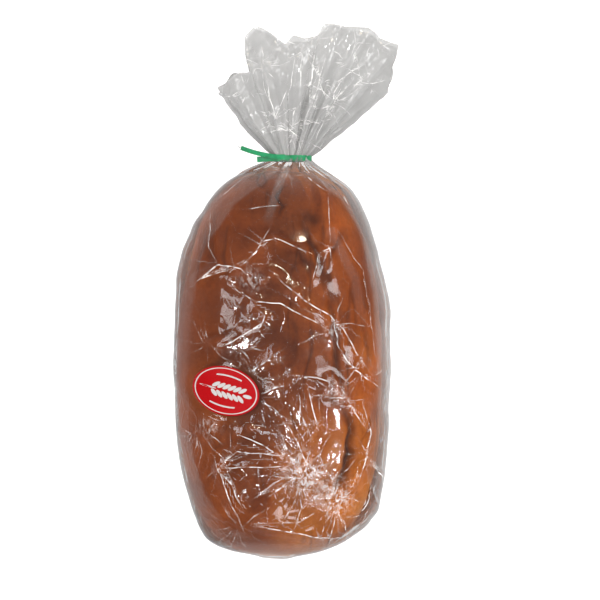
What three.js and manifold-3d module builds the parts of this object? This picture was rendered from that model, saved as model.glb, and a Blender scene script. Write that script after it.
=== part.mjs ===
// A hearth loaf in a clear plastic bread bag. The bag's neck is gathered and held by a twist tie, its mouth
// flares past the tie, and an oval paper label is stuck on its upper face.
// Millimetres, +Z up. The loaf lies on its base with its length along Y: the bag's tail is at -Y, its mouth
// at +Y. Heights are measured from the surface that the bag lies on.

import * as THREE from 'three';
import { mergeVertices } from 'three/addons/utils/BufferGeometryUtils.js';
import Module from 'manifold-3d';

const CLEARANCE = 0.3; // between pieces that touch

// The loaf: its widest line runs round it at LOAF_WAIST_Z.
const LOAF_LENGTH = 287;
const LOAF_WIDTH = 148;
const LOAF_MIDDLE_X = -3;
const LOAF_MIDDLE_Y = -54;
const LOAF_TAPER = 0.05; // the end by the neck is this much narrower, and the other end as much wider
const LOAF_WAIST_Z = 32;
const LOAF_CROWN = 49; // rise of the crown above the waist
const LOAF_BELLY = 43; // fall of the full round below the waist, which the flat base cuts short
const PLAN_SQUARENESS = 2.7; // exponent of the outline seen from above
const SECTION_SQUARENESS = 2.6; // exponent of the cross section

// The bag: one film, from the tail, over the loaf, through the neck, to the mouth.
const FILM = 1; // wall thickness
const BAG_WAIST_Z = 31;
const BAG_CROWN_RATIO = 0.67; // height above the waist for each millimetre of half width
const BAG_BELLY_RATIO = 0.62; // depth below the waist, which the surface cuts short
const NECK_HALF_WIDTH = 13;
const NECK_X = 5;
const NECK_Y = 98.5;
const NECK_Z = 36;
const NECK_LENGTH = 6; // the straight stretch under the tie
const NECK_START = NECK_Y - NECK_LENGTH / 2;
const NECK_END = NECK_Y + NECK_LENGTH / 2;
const NECKING = 14; // how far before the neck the cross section starts to change
const NECK_RATIO = 0.58; // half height over half width, at the neck and through the mouth
const GATHER = 9; // how much thicker the bunched film makes the wall at the neck
const GATHER_REACH = 7; // how far along Y the bunching fades out
const MOUTH_HALF_WIDTH = 58.5;
const MOUTH_X = 20.7;
const MOUTH_Z = 40;
const MOUTH_Y = 197.5;
const RIM_BOW = 36.5; // how far the rim's two sides fall back behind its middle
const RIM_SKEW = 9; // how much further the left side falls back than the right
const PLEATS = 12;
const PLEAT_DEPTH = 0.07; // share of the radius, at the rim

// Half the bag's width along its length, from the closed tail to the neck: [half width, y].
const BAG_OUTLINE = [
  [0, -201],
  [26, -198.5],
  [48, -188],
  [65, -170],
  [76, -140],
  [81, -95],
  [81.5, -40],
  [77.5, 12],
  [67, 47],
  [51, 74],
  [31, 90],
  [NECK_HALF_WIDTH, NECK_START],
];

// Where the middle of the bag's width lies: [y, x].
const BAG_MIDLINE = [
  [-201, -5],
  [-170, 0],
  [-60, -2],
  [20, -4.5],
  [70, 0],
  [NECK_Y, NECK_X],
];

// The twist tie: a ribbon with a wire in it, round the neck, with two tails to the left.
const RIBBON_WIDTH = 4.2;
const RIBBON_THICKNESS = 0.8;
const WIRE_DIAMETER = 0.6;
const WIRE_SHOWING = 2.5;
const LONG_TAIL = [
  [NECK_X - 5, 99.5, 43.6],
  [-7, 99.5, 43.6],
  [-16, 101, 43.3],
  [-25, 103.2, 43.6],
  [-33, 106, 44.4],
];
const SHORT_TAIL = [
  [NECK_X - 5, 98.4, 43.8],
  [-7, 98.2, 42.8],
  [-14, 98, 40.8],
  [-21, 97.6, 39.2],
];

// The label: an oval on the bag's upper face.
const LABEL_LENGTH = 49;
const LABEL_WIDTH = 35;
const LABEL_THICKNESS = 0.4;
const LABEL_X = -43;
const LABEL_Y = -73.5;
const LABEL_TURN = -15; // degrees about Z

const MATERIALS = {
  crust: { color: 0x82421f, roughness: 0.65, metalness: 0 },
  film: { color: 0xd8d8d8, roughness: 0.12, metalness: 0, transparent: true, opacity: 0.3 },
  ribbon: { color: 0x149155, roughness: 0.45, metalness: 0 },
  wire: { color: 0x8a8a88, roughness: 0.35, metalness: 1 },
  paper: { color: 0xc90c12, roughness: 0.4, metalness: 0 },
};

const { Manifold, Mesh: SolidMesh } = await Module().then((wasm) => (wasm.setup(), wasm));

function asSolid(geometry) {
  const plain = geometry.clone().deleteAttribute('normal').deleteAttribute('uv');
  const merged = mergeVertices(plain, 1e-4);
  const vertProperties = Float32Array.from(merged.attributes.position.array);
  const triVerts = Uint32Array.from(merged.index.array);
  return new Manifold(new SolidMesh({ numProp: 3, vertProperties, triVerts }));
}

function asGeometry(solid) {
  const { vertProperties, triVerts } = solid.getMesh();
  const geometry = new THREE.BufferGeometry();
  geometry.setAttribute('position', new THREE.BufferAttribute(vertProperties, 3));
  geometry.setIndex(new THREE.BufferAttribute(triVerts, 1));
  geometry.computeVertexNormals();
  return geometry;
}

// Moves every vertex of a geometry as move(point, its index) says.
function reshape(geometry, move) {
  const { position } = geometry.attributes;
  const point = new THREE.Vector3();
  for (let i = 0; i < position.count; i += 1) {
    move(point.fromBufferAttribute(position, i), i);
    position.setXYZ(i, point.x, point.y, point.z);
  }
  geometry.computeVertexNormals();
  return geometry;
}

// Length of (a, b) measured so that the points of length 1 lie on a superellipse of exponent n.
function squareLength(a, b, n) {
  return (Math.abs(a) ** n + Math.abs(b) ** n) ** (1 / n);
}

// The loaf: a superellipsoid with a higher crown than belly, cut flat where it was baked on the hearth.
function loafGeometry() {
  const baseZ = FILM + CLEARANCE;
  return reshape(new THREE.SphereGeometry(1, 36, 24), (p) => {
    const across = squareLength(p.x, p.z, SECTION_SQUARENESS);
    p.divideScalar(squareLength(across, p.y, PLAN_SQUARENESS));
    p.x = LOAF_MIDDLE_X + p.x * (1 - LOAF_TAPER * p.y) * LOAF_WIDTH / 2;
    p.y = LOAF_MIDDLE_Y + p.y * LOAF_LENGTH / 2;
    const height = LOAF_WAIST_Z + p.z * (p.z > 0 ? LOAF_CROWN : LOAF_BELLY);
    p.z = Math.max(height, baseZ);
  });
}

// Smooth value at y of a list of [y, value].
function along(stations) {
  const ys = Float32Array.from(stations, ([y]) => y);
  const values = Float32Array.from(stations, ([, value]) => value);
  const curve = new THREE.CubicInterpolant(ys, values, 1);
  return (y) => curve.evaluate(THREE.MathUtils.clamp(y, ys[0], ys[ys.length - 1]))[0];
}

// The outer profile of the bag: [half width, y] from the tail to the rim.
function outerProfile() {
  const body = new THREE.SplineCurve(BAG_OUTLINE.map(([x, y]) => new THREE.Vector2(x, y)));
  const points = body.getSpacedPoints(23);
  const steps = 11;
  for (let i = 0; i <= steps; i += 1) {
    const s = i / steps;
    const spread = (MOUTH_HALF_WIDTH - NECK_HALF_WIDTH) * Math.sin((s * Math.PI) / 2);
    points.push(new THREE.Vector2(NECK_HALF_WIDTH + spread, NECK_END + s * (MOUTH_Y - NECK_END)));
  }
  return points;
}

// The same profile one wall thickness further in. The wall is thicker where the film is bunched.
function innerProfile(outer) {
  return outer.map((point, i) => {
    const before = outer[Math.max(i - 1, 0)];
    const after = outer[Math.min(i + 1, outer.length - 1)];
    const normal = new THREE.Vector2(before.y - after.y, after.x - before.x).normalize();
    if (i === 0) normal.set(0, 1);
    const bunch = GATHER * Math.exp(-(((point.y - NECK_Y) / GATHER_REACH) ** 2));
    return point.clone().addScaledVector(normal, FILM).sub(new THREE.Vector2(bunch, 0));
  });
}

// How far a point is through the mouth: 0 at the neck, 1 at the rim.
function throughMouth(y) {
  return THREE.MathUtils.clamp((y - NECK_END) / (MOUTH_Y - NECK_END), 0, 1);
}

const bodyMiddleX = along(BAG_MIDLINE);

// The bag: its profile turned into a closed shell, then each ring given its real cross section, which is
// squarish over the loaf, narrow at the neck and pleated at the mouth.
function bagGeometry() {
  const outer = outerProfile();
  const inner = innerProfile(outer).reverse();
  inner[inner.length - 1].x = 0;
  const rings = outer.length + inner.length;
  return reshape(new THREE.LatheGeometry([...outer, ...inner], 48), (p, index) => {
    const radius = Math.hypot(p.x, p.z);
    const mouth = throughMouth(p.y);
    const necking = THREE.MathUtils.smoothstep(p.y, NECK_START - NECKING, NECK_START);
    const side = radius > 0 ? p.x / radius : 0;
    const rise = radius > 0 ? p.z / radius : 0;
    const squareness = THREE.MathUtils.lerp(SECTION_SQUARENESS, 2, necking);
    const pleat = 1 + PLEAT_DEPTH * mouth * Math.cos(PLEATS * Math.atan2(rise, side));
    const reach = radius > 0 ? (radius * pleat) / squareLength(side, rise, squareness) : 0;
    const bodyRatio = rise > 0 ? BAG_CROWN_RATIO : BAG_BELLY_RATIO;
    const ratio = THREE.MathUtils.lerp(bodyRatio, NECK_RATIO, necking);
    const waist = THREE.MathUtils.lerp(BAG_WAIST_Z, NECK_Z, necking) + (MOUTH_Z - NECK_Z) * mouth;
    const floor = index % rings < outer.length ? 0 : FILM;
    const middle = bodyMiddleX(p.y) + (MOUTH_X - NECK_X) * mouth;
    p.y -= mouth ** 2 * (RIM_BOW * side ** 2 - RIM_SKEW * side);
    p.x = middle + reach * side;
    p.z = Math.max(waist + reach * rise * ratio, floor);
  });
}

// Height of the bag's upper face at x, over the widest part of the loaf.
function bagTopZ(x) {
  const halfWidth = Math.max(...outerProfile().map((point) => point.x));
  const share = Math.abs(x - bodyMiddleX(LABEL_Y)) / halfWidth;
  const crown = (1 - share ** SECTION_SQUARENESS) ** (1 / SECTION_SQUARENESS);
  return BAG_WAIST_Z + halfWidth * BAG_CROWN_RATIO * crown;
}

// The label: an oval disc bent to the bag.
function labelGeometry() {
  const shares = [0, 0.25, 0.5, 0.75, 1];
  const below = shares.map((share) => new THREE.Vector2(share, 0));
  const above = shares.map((share) => new THREE.Vector2(share, LABEL_THICKNESS)).reverse();
  const disc = new THREE.LatheGeometry([...below, ...above], 28);
  const turn = THREE.MathUtils.degToRad(LABEL_TURN);
  return reshape(disc, (p) => {
    const u = (p.x * LABEL_LENGTH) / 2;
    const v = (-p.z * LABEL_WIDTH) / 2;
    const lift = p.y;
    p.x = LABEL_X + u * Math.cos(turn) - v * Math.sin(turn);
    p.y = LABEL_Y + u * Math.sin(turn) + v * Math.cos(turn);
    p.z = bagTopZ(p.x) + CLEARANCE + lift;
  });
}

function ellipse(shape, halfWidth, ratio) {
  shape.absellipse(0, 0, halfWidth, halfWidth * ratio, 0, 2 * Math.PI, false, 0);
  return shape;
}

// The tie's loop: a flat band that just clears the neck.
function loopGeometry() {
  const innerHalf = NECK_HALF_WIDTH + CLEARANCE / NECK_RATIO;
  const shape = ellipse(new THREE.Shape(), innerHalf + RIBBON_THICKNESS / NECK_RATIO, NECK_RATIO);
  shape.holes.push(ellipse(new THREE.Path(), innerHalf, NECK_RATIO));
  const loop = new THREE.ExtrudeGeometry(shape, {
    depth: RIBBON_WIDTH,
    bevelEnabled: false,
    curveSegments: 40,
  });
  return loop.rotateX(Math.PI / 2).translate(NECK_X, NECK_Y + RIBBON_WIDTH / 2, NECK_Z);
}

function tailPath(points) {
  return new THREE.CatmullRomCurve3(points.map((point) => new THREE.Vector3(...point)));
}

// A tail of the tie: a flat strip along its path, level across its width.
function tailGeometry(points, width) {
  const path = tailPath(points);
  const vertical = new THREE.Vector3(0, 0, 1);
  const strip = new THREE.BoxGeometry(1, width, RIBBON_THICKNESS, 14, 1, 1);
  return reshape(strip, (p) => {
    const share = p.x + 0.5;
    const ahead = path.getTangent(share);
    const across = vertical.clone().cross(ahead).normalize();
    const up = ahead.cross(across);
    const centre = path.getPoint(share);
    p.copy(centre.addScaledVector(across, p.y).addScaledVector(up, p.z));
  });
}

function ribbonGeometry() {
  const loop = asSolid(loopGeometry());
  const longTail = asSolid(tailGeometry(LONG_TAIL, RIBBON_WIDTH * 0.8));
  const shortTail = asSolid(tailGeometry(SHORT_TAIL, RIBBON_WIDTH));
  return asGeometry(loop.add(longTail).add(shortTail));
}

// The wire where it shows, past the cut end of the long tail.
function wireGeometry() {
  const path = tailPath(LONG_TAIL);
  const tip = path.getPoint(1);
  const direction = path.getTangent(1);
  const wire = new THREE.CylinderGeometry(WIRE_DIAMETER / 2, WIRE_DIAMETER / 2, WIRE_SHOWING, 10);
  wire.applyQuaternion(new THREE.Quaternion().setFromUnitVectors(new THREE.Vector3(0, 1, 0), direction));
  const middle = tip.addScaledVector(direction, CLEARANCE + WIRE_SHOWING / 2);
  return wire.translate(middle.x, middle.y, middle.z);
}

function piece(name, geometry, finish) {
  const mesh = new THREE.Mesh(geometry, new THREE.MeshStandardMaterial(MATERIALS[finish]));
  mesh.name = name;
  return mesh;
}

const group = new THREE.Group();
group.add(
  piece('loaf', loafGeometry(), 'crust'),
  piece('bag', bagGeometry(), 'film'),
  piece('tie_ribbon', ribbonGeometry(), 'ribbon'),
  piece('tie_wire', wireGeometry(), 'wire'),
  piece('label', labelGeometry(), 'paper'),
);

// The origin is the middle of the whole part, on the surface it lies on.
const middle = new THREE.Box3().setFromObject(group, true).getCenter(new THREE.Vector3());
group.position.set(-middle.x, -middle.y, 0);

export default group;
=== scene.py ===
"""A hearth loaf in a clear bread bag, tied at the neck, lying on its base. Shapes are worked out in
millimetres and put into the meshes in metres."""

import bpy
import numpy as np
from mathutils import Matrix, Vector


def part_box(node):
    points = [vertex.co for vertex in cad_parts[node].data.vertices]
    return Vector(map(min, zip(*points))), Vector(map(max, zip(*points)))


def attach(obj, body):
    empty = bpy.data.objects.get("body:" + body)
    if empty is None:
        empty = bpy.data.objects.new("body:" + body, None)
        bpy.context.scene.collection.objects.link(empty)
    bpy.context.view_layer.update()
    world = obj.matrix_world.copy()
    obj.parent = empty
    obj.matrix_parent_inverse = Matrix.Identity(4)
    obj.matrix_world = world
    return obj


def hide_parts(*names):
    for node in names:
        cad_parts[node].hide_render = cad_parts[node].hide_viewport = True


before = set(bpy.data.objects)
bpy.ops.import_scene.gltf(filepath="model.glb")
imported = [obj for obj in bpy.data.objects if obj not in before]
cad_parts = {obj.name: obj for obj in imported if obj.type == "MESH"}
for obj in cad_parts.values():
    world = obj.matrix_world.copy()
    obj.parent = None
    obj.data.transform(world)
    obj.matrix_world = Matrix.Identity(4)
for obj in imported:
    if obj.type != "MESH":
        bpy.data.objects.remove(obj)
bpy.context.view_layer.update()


# ---------------------------------------------------------------------------------------------------
# The table, the lights and the camera. A table of white acrylic lit from below, seen from straight above,
# with large soft boxes at the sides and a few small lamps that make the film glint.

MM = 0.001


def nodes_of(material):
    """Empties a material's node tree and returns it."""
    material.use_nodes = True
    material.node_tree.nodes.clear()
    return material.node_tree


def add(tree, kind, inputs=None, **settings):
    """Adds a node of this kind. Inputs are values, or sockets of other nodes to link from."""
    made = tree.nodes.new("ShaderNode" + kind)
    for name, value in settings.items():
        setattr(made, name, value)
    for name, value in (inputs or {}).items():
        if isinstance(value, bpy.types.NodeSocket):
            tree.links.new(value, made.inputs[name])
        else:
            made.inputs[name].default_value = value
    return made


def ramp(tree, factor, stops, interpolation="LINEAR"):
    """A colour ramp through stops of (place, grey or colour), and its colour socket."""
    made = add(tree, "ValToRGB", {"Fac": factor})
    band = made.color_ramp
    band.interpolation = interpolation
    while len(band.elements) < len(stops):
        band.elements.new(0.5)
    for element, (place, colour) in zip(band.elements, stops):
        element.position = place
        element.color = (*colour, 1) if hasattr(colour, "__len__") else (colour, colour, colour, 1)
    return made.outputs["Color"]


def lit_acrylic():
    """White acrylic with a faint speckle, lit evenly from below."""
    material = bpy.data.materials.new("table_acrylic")
    tree = nodes_of(material)
    place = add(tree, "TexCoord").outputs["Object"]
    speckle = add(tree, "TexNoise", {"Vector": place, "Scale": 60.0, "Detail": 4.0})
    colour = ramp(tree, speckle.outputs["Fac"], [(0.3, 0.90), (0.7, 0.94)])
    surface = add(tree, "BsdfPrincipled", {"Base Color": colour, "Roughness": 0.7,
                                           "Emission Color": (1, 1, 1, 1), "Emission Strength": 0.42})
    out = add(tree, "OutputMaterial")
    tree.links.new(surface.outputs[0], out.inputs["Surface"])
    return material


bpy.ops.mesh.primitive_plane_add(size=8, location=(0, 0, -0.0004))
table = bpy.context.object
table.name = "table"
table.data.materials.append(lit_acrylic())
table.visible_glossy = False  # it is far larger and brighter than a table in a bakery


def area_light(name, place, size, power, colour=(1, 1, 1)):
    """A rectangular lamp at place, in metres, turned to face the middle of the loaf."""
    data = bpy.data.lights.new(name, "AREA")
    data.shape = "RECTANGLE"
    data.size, data.size_y = size
    data.energy = power
    data.color = colour
    lamp = bpy.data.objects.new(name, data)
    bpy.context.scene.collection.objects.link(lamp)
    lamp.location = place
    aim = Vector((0, 0, 0.04)) - Vector(place)
    lamp.rotation_euler = aim.to_track_quat("-Z", "Y").to_euler()
    return lamp


# The big boxes stand behind grids, so the film doesn't mirror them.
for box in (area_light("soft_box_left", (-1.9, 0.5, 1.5), (1.1, 1.1), 50),
            area_light("soft_box_right", (1.9, 0.2, 1.5), (1.1, 1.1), 48),
            area_light("soft_box_back", (0.1, 2.0, 1.6), (1.2, 0.8), 20),
            area_light("soft_box_front", (0.0, -2.0, 1.4), (1.2, 0.8), 20)):
    box.visible_glossy = False
area_light("card_right", (0.75, 0.15, 1.5), (0.36, 0.46), 3.6)
area_light("card_left", (-0.8, 0.1, 1.5), (0.34, 0.44), 2.4)
area_light("card_front", (0.2, -0.85, 1.5), (0.44, 0.30), 2.8)
area_light("glint_right", (0.52, -0.40, 1.6), (0.09, 0.09), 2)
area_light("glint_left", (-0.5, 0.35, 1.6), (0.09, 0.09), 2)
area_light("glint_front", (-0.2, -0.65, 1.6), (0.12, 0.08), 2)
area_light("glint_warm", (0.25, 0.65, 1.5), (0.09, 0.09), 1.6, (1, 0.86, 0.66))

# The room: dark overhead, grey at eye level and bright below, where the film's steep sides mirror it.
world = bpy.data.worlds.new("studio_room")
world.use_nodes = True
room = world.node_tree
toward = add(room, "TexCoord").outputs["Generated"]
rise = add(room, "MapRange", {"Value": add(room, "SeparateXYZ", {"Vector": toward}).outputs["Z"],
                              "From Min": -1.0, "From Max": 1.0})
room.links.new(ramp(room, rise.outputs[0], [(0.42, 0.76), (0.56, 0.34), (0.80, 0.09)]),
               room.nodes["Background"].inputs["Color"])
room.nodes["Background"].inputs["Strength"].default_value = 1.0
bpy.context.scene.world = world
bpy.context.scene.view_settings.view_transform = "Standard"
bpy.context.scene.cycles.transparent_max_bounces = 48

CAMERA_HEIGHT = 1.5
WIDEST_LEVEL = 0.035  # height of the loaf's widest part
SEEN_WIDTH = 0.45  # of that level
camera_data = bpy.data.cameras.new("overhead")
camera_data.sensor_width = 36
camera_data.lens = camera_data.sensor_width * (CAMERA_HEIGHT - WIDEST_LEVEL) / SEEN_WIDTH
camera = bpy.data.objects.new("overhead", camera_data)
camera.location = (0.0116, -0.006, CAMERA_HEIGHT)
bpy.context.scene.collection.objects.link(camera)
bpy.context.scene.camera = camera


# ---------------------------------------------------------------------------------------------------
# The loaf. One piece of baked dough, proofed and baked free on the hearth, so its base is flat, its crust
# has wrinkled in places as it cooled, and it has torn along one side of the crown.

LOAF_SQUARENESS = (2.6, 2.7)  # exponents of the cross section and of the outline from above
LOAF_TAPER = 0.05  # how much narrower than its middle the end at the neck is, as a share
LOAF_WAIST = 32.0  # height of the widest level
LOAF_BELLY = 43.0  # depth that the round underside would reach below it, if the base weren't flat
LOAF_LEFT_BULGE = 2.8  # the crust stands out this much more on the left than the CAD's loaf
WRINKLE_DEPTH = 1.1
STAIN_MIDDLE, STAIN_REACH = (20, 54), (9, 4.5)  # a darker bake at the groove's near end

# Grooves in the crust, on the crown: points in plan, then depth, half width and darkness, the painted shade
# that stands for the shade falling into the groove.
CRUST_GROOVES = [
    ([(1, 78), (-5, 70), (0, 62), (-3, 56)], 2.0, 1.8, 1.0),
    ([(12, 56), (14, 44), (24, 27), (29, 14), (34, -2)], 2.4, 3.2, 0.9),
    ([(34, -2), (37, -30), (40, -58), (44, -82)], 2.4, 3.0, 0.85),
    ([(44, -82), (49, -100), (47, -120), (42, -135), (36, -150)], 4.2, 3.6, 1.1),
    ([(-54, 63), (-54, 30), (-50, 22), (-62, 12)], 1.8, 3.4, 0.5),
    ([(6, -5), (8, -32), (6, -62)], 0.8, 3.0, 0.35),
    ([(-52, -34), (-36, -30), (-24, -36)], 1.4, 3.0, 0.45),
    ([(-19, -126), (-15, -140), (-12, -158)], 1.0, 2.6, 0.35),
    ([(58, -18), (63, -42), (60, -60)], 1.4, 3.4, 0.5),
    ([(-60, -100), (-50, -112), (-38, -110)], 1.2, 3.0, 0.3),
]


def value_noise(points, spacing, seed):
    """Smooth random value from -1 to 1 at each point: random numbers at the corners of a box lattice of
    that spacing, blended across each cell with smoothstep weights."""
    table_of = np.random.default_rng(seed).uniform(-1, 1, (32, 32, 32))
    place = points / np.asarray(spacing, float) + 512.3
    cell = np.floor(place).astype(int)
    part = place - cell
    part = part * part * (3 - 2 * part)
    total = np.zeros(points.shape[:-1])
    for corner in np.ndindex(2, 2, 2):
        index = (cell + corner) % 32
        weight = np.where(corner, part, 1 - part).prod(-1)
        total += weight * table_of[index[..., 0], index[..., 1], index[..., 2]]
    return total


def layered_noise(points, spacing, seed, octaves=3):
    """value_noise summed over octaves, each half as wide and half as strong as the one before."""
    return sum(value_noise(points, np.asarray(spacing) / 2**k, seed + k) / 2**k for k in range(octaves))


def line_distance(plan, line):
    """Distance in plan from each point to an open line of straight stretches, less than 0 on its right, and
    the share of the line's length at the nearest place."""
    nearest, share = np.full(plan.shape[:-1], 1e9), np.zeros(plan.shape[:-1])
    ends = np.asarray(line, float)
    lengths = np.linalg.norm(np.diff(ends, axis=0), axis=1)
    before = 0.0
    for start, end, length in zip(ends[:-1], ends[1:], lengths):
        out, way = plan - start, end - start
        along = np.clip(out @ way / length**2, 0, 1)
        away = np.linalg.norm(out - along[..., None] * way, axis=-1)
        away = away * np.where(way[0] * out[..., 1] - way[1] * out[..., 0] < 0, -1, 1)
        closer = np.abs(away) < np.abs(nearest)
        share = np.where(closer, (before + along * length) / lengths.sum(), share)
        nearest = np.where(closer, away, nearest)
        before += length
    return nearest, share


def smooth_step(low, high, value):
    """0 below low, 1 above high and a smooth S between."""
    t = np.clip((value - low) / (high - low), 0, 1)
    return t * t * (3 - 2 * t)


def square_length(a, b, exponent):
    """Length of (a, b) measured so that a superellipse of that exponent has length 1 all round."""
    return (np.abs(a) ** exponent + np.abs(b) ** exponent) ** (1 / exponent)


def grid_normals(points):
    """Unit normals of a grid of points whose columns close on themselves: the cross product of the steps
    between neighbours along the two directions of the grid."""
    across = np.roll(points, -1, axis=1) - np.roll(points, 1, axis=1)
    ahead = np.gradient(points, axis=0)
    normal = np.cross(across, ahead)
    return normal / np.maximum(np.linalg.norm(normal, axis=-1, keepdims=True), 1e-9)


def tube_mesh(name, points, start_pole=None, end_pole=None):
    """A mesh of quads from a grid of points in millimetres, rows along it and columns closed round it. A
    pole closes that end with one point."""
    rows, columns = points.shape[:2]
    index = np.arange(rows * columns).reshape(rows, columns)
    a, b = index[:-1], np.roll(index, -1, axis=1)[:-1]
    c, d = np.roll(index, -1, axis=1)[1:], index[1:]
    faces = np.stack([a, b, c, d], -1).reshape(-1, 4).tolist()
    vertices = points.reshape(-1, 3)
    if start_pole is not None:
        pole = len(vertices)
        vertices = np.vstack([vertices, start_pole])
        first = index[0]
        faces += np.stack([np.roll(first, -1), first, np.full(columns, pole)], -1).tolist()
    if end_pole is not None:
        pole = len(vertices)
        vertices = np.vstack([vertices, end_pole])
        last = index[-1]
        faces += np.stack([last, np.roll(last, -1), np.full(columns, pole)], -1).tolist()
    mesh = bpy.data.meshes.new(name)
    mesh.from_pydata((vertices * MM).tolist(), [], faces)
    mesh.polygons.foreach_set("use_smooth", np.ones(len(mesh.polygons), bool))
    mesh.update()
    piece = bpy.data.objects.new(name, mesh)
    bpy.context.scene.collection.objects.link(piece)
    return piece


def set_attribute(piece, name, values):
    """Stores one number for each vertex. Vertices past the grid, such as poles, get the last number."""
    store = piece.data.attributes.new(name, "FLOAT", "POINT")
    flat = np.asarray(values, np.float32).ravel()
    whole = np.full(len(piece.data.vertices), flat[-1], np.float32)
    whole[: len(flat)] = flat
    store.data.foreach_set("value", whole)


def loaf_box():
    """Lowest and highest corner of the loaf."""
    low, high = np.array(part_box("loaf")) / MM
    low[0] -= LOAF_LEFT_BULGE
    return low, high


def loaf_base_shape(turn, climb):
    """Point of the smooth loaf. turn goes round the length and climb runs from -90 to 90 degrees along it:
    the unit sphere's point is divided by its superellipsoid length, then stretched to the loaf's size."""
    low, high = loaf_box()
    centre = (low + high) / 2
    side = np.cos(climb) * np.sin(turn)
    rise = np.cos(climb) * np.cos(turn)
    ahead = np.sin(climb)
    size = square_length(square_length(side, rise, LOAF_SQUARENESS[0]), ahead, LOAF_SQUARENESS[1])
    side, rise, ahead = side / size, rise / size, ahead / size
    crown = high[2] - LOAF_WAIST
    half = (high - low) / 2
    x = centre[0] + side * (1 - LOAF_TAPER * ahead) * half[0]
    y = centre[1] + ahead * half[1]
    z = LOAF_WAIST + rise * np.where(rise > 0, crown, LOAF_BELLY)
    return np.stack([x, y, np.maximum(z, low[2])], -1)


def loaf_piece():
    """The loaf: the smooth shape moved along its normal by lumps, wrinkles and the torn grooves."""
    rows, columns = 300, 300
    turn = np.linspace(-np.pi, np.pi, columns, endpoint=False)
    turn = turn - 0.45 * np.sin(turn)
    climb = np.linspace(-1, 1, rows + 2)[1:-1]
    climb = np.pi / 2 * (climb * 0.55 + 0.45 * climb**3)
    turn, climb = np.meshgrid(turn, climb)
    points = loaf_base_shape(turn, climb)
    normals = grid_normals(points)
    upper = smooth_step(4, 22, points[..., 2])
    lumps = 1.5 * layered_noise(points, 52, 3, 3)
    dents = -1.6 * smooth_step(0.25, 0.75, layered_noise(points, (34, 46, 40), 11, 2))
    folds = layered_noise(points, (15, 60, 30), 21, 3)
    wrinkled = smooth_step(0, 0.5, value_noise(points, 45, 31))
    wrinkles = -WRINKLE_DEPTH * np.maximum(0, 1 - np.abs(folds) / 0.16) * wrinkled
    grain = 0.12 * layered_noise(points, 3.2, 41, 2)
    shift = (lumps + dents + wrinkles) * upper + grain
    # Each groove is also darkened in the colour: painted shade, standing for the shade that falls into it.
    dark = np.zeros(points.shape[:2])
    plan = points[..., :2] + 2.2 * np.stack([value_noise(points, 9, 51), value_noise(points, 9, 52)], -1)
    for line, depth, width, painted_shade in CRUST_GROOVES:
        away, share = line_distance(plan, line)
        away = np.abs(away)
        fade = np.sin(np.pi * np.clip(share, 0.04, 0.96)) ** 0.5
        groove = np.maximum(0, 1 - away / width) * fade
        lip = np.exp(-(((away - 1.6 * width) / width) ** 2)) * fade
        on_top = smooth_step(30, 45, points[..., 2])
        shift += (-depth * groove**0.8 + 0.3 * depth * lip) * on_top
        dark = np.maximum(dark, painted_shade * groove * on_top)
    stain = np.exp(-(((plan - STAIN_MIDDLE) / STAIN_REACH) ** 2).sum(-1))
    low = points[..., 2].min()
    points = points + normals * shift[..., None]
    points[..., 2] = np.maximum(points[..., 2], low)
    ends = loaf_base_shape(np.zeros(2), np.array([-np.pi / 2, np.pi / 2]))
    piece = tube_mesh("loaf_crust", points, ends[0], ends[1])
    # The groove attribute holds the painted shade of the grooves and the darker bake of the stain.
    set_attribute(piece, "groove", np.maximum(dark, 0.7 * stain))
    set_attribute(piece, "wrinkle", np.clip(-wrinkles / WRINKLE_DEPTH, 0, 1))
    return piece


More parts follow.
